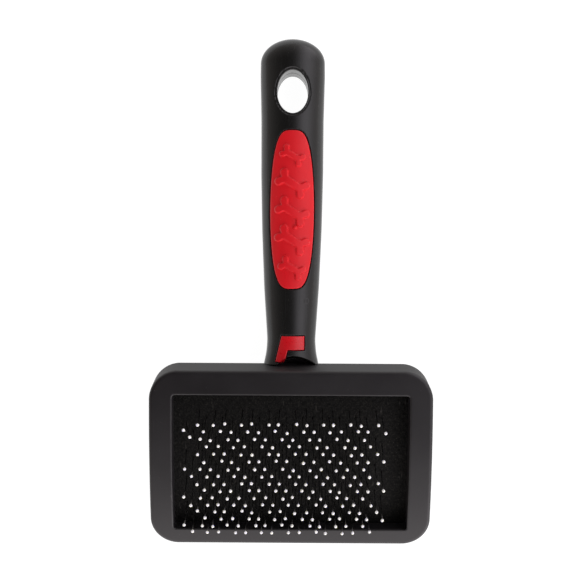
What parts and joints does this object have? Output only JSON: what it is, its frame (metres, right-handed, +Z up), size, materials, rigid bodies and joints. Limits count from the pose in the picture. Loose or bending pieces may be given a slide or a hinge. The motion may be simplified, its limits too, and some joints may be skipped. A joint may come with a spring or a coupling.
{
  "type": "slicker brush",
  "caption": "Slicker pet brush: arched rectangular head of bent wire pins with ball tips on a sprung cushion, and a slim handle with a red grip and a hanging hole.",
  "frame": {"origin": "on the table, at the middle of the brush's footprint as it lies on its back", "axes": "+X to the brush's right, +Y from the head to the hanging hole, +Z up, the way the pins point"},
  "size_m": [0.1, 0.1835, 0.0314],
  "materials": {
    "handle_black": "glossy moulded black with soft wear",
    "grip_red": "soft satin red",
    "accent_red": "glossy red",
    "head_black": "satin moulded black",
    "facing_black": "dull black rubber-faced cloth",
    "foundation_ply": "woven ply",
    "foam": "closed-cell foam",
    "wire_steel": "drawn steel wire",
    "tip_white": "dipped white ball"
  },
  "bodies": {
    "brush": {"handle_front": "handle_black", "handle_rear": "handle_black", "grip_pad": "grip_red", "neck_accent": "accent_red", "head_back": "head_black", "bezel_frame": "head_black", "cushion_foam": "foam"},
    "cushion": {"pad_facing": "facing_black", "pad_foundation": "foundation_ply", "pin_row_01": "wire_steel", "pin_row_02": "wire_steel", "pin_row_03": "wire_steel", "pin_row_04": "wire_steel", "pin_row_05": "wire_steel", "pin_row_06": "wire_steel", "pin_row_07": "wire_steel", "pin_row_08": "wire_steel", "pin_row_09": "wire_steel", "pin_row_10": "wire_steel", "pin_row_11": "wire_steel", "pin_row_12": "wire_steel", "pin_row_13": "wire_steel", "pin_row_14": "wire_steel", "pin_row_15": "wire_steel", "pin_row_16": "wire_steel", "tip_row_01": "tip_white", "tip_row_02": "tip_white", "tip_row_03": "tip_white", "tip_row_04": "tip_white", "tip_row_05": "tip_white", "tip_row_06": "tip_white", "tip_row_07": "tip_white", "tip_row_08": "tip_white", "tip_row_09": "tip_white", "tip_row_10": "tip_white", "tip_row_11": "tip_white", "tip_row_12": "tip_white", "tip_row_13": "tip_white", "tip_row_14": "tip_white", "tip_row_15": "tip_white", "tip_row_16": "tip_white"}
  },
  "joints": [
    {"name": "cushion_press", "type": "slide", "parent": "brush", "child": "cushion", "axis": [0, 0.1788, -0.9839], "range_m": [0, 0.002], "stiffness_N_per_m": 2500, "deforming": ["cushion_foam"]}
  ]
}
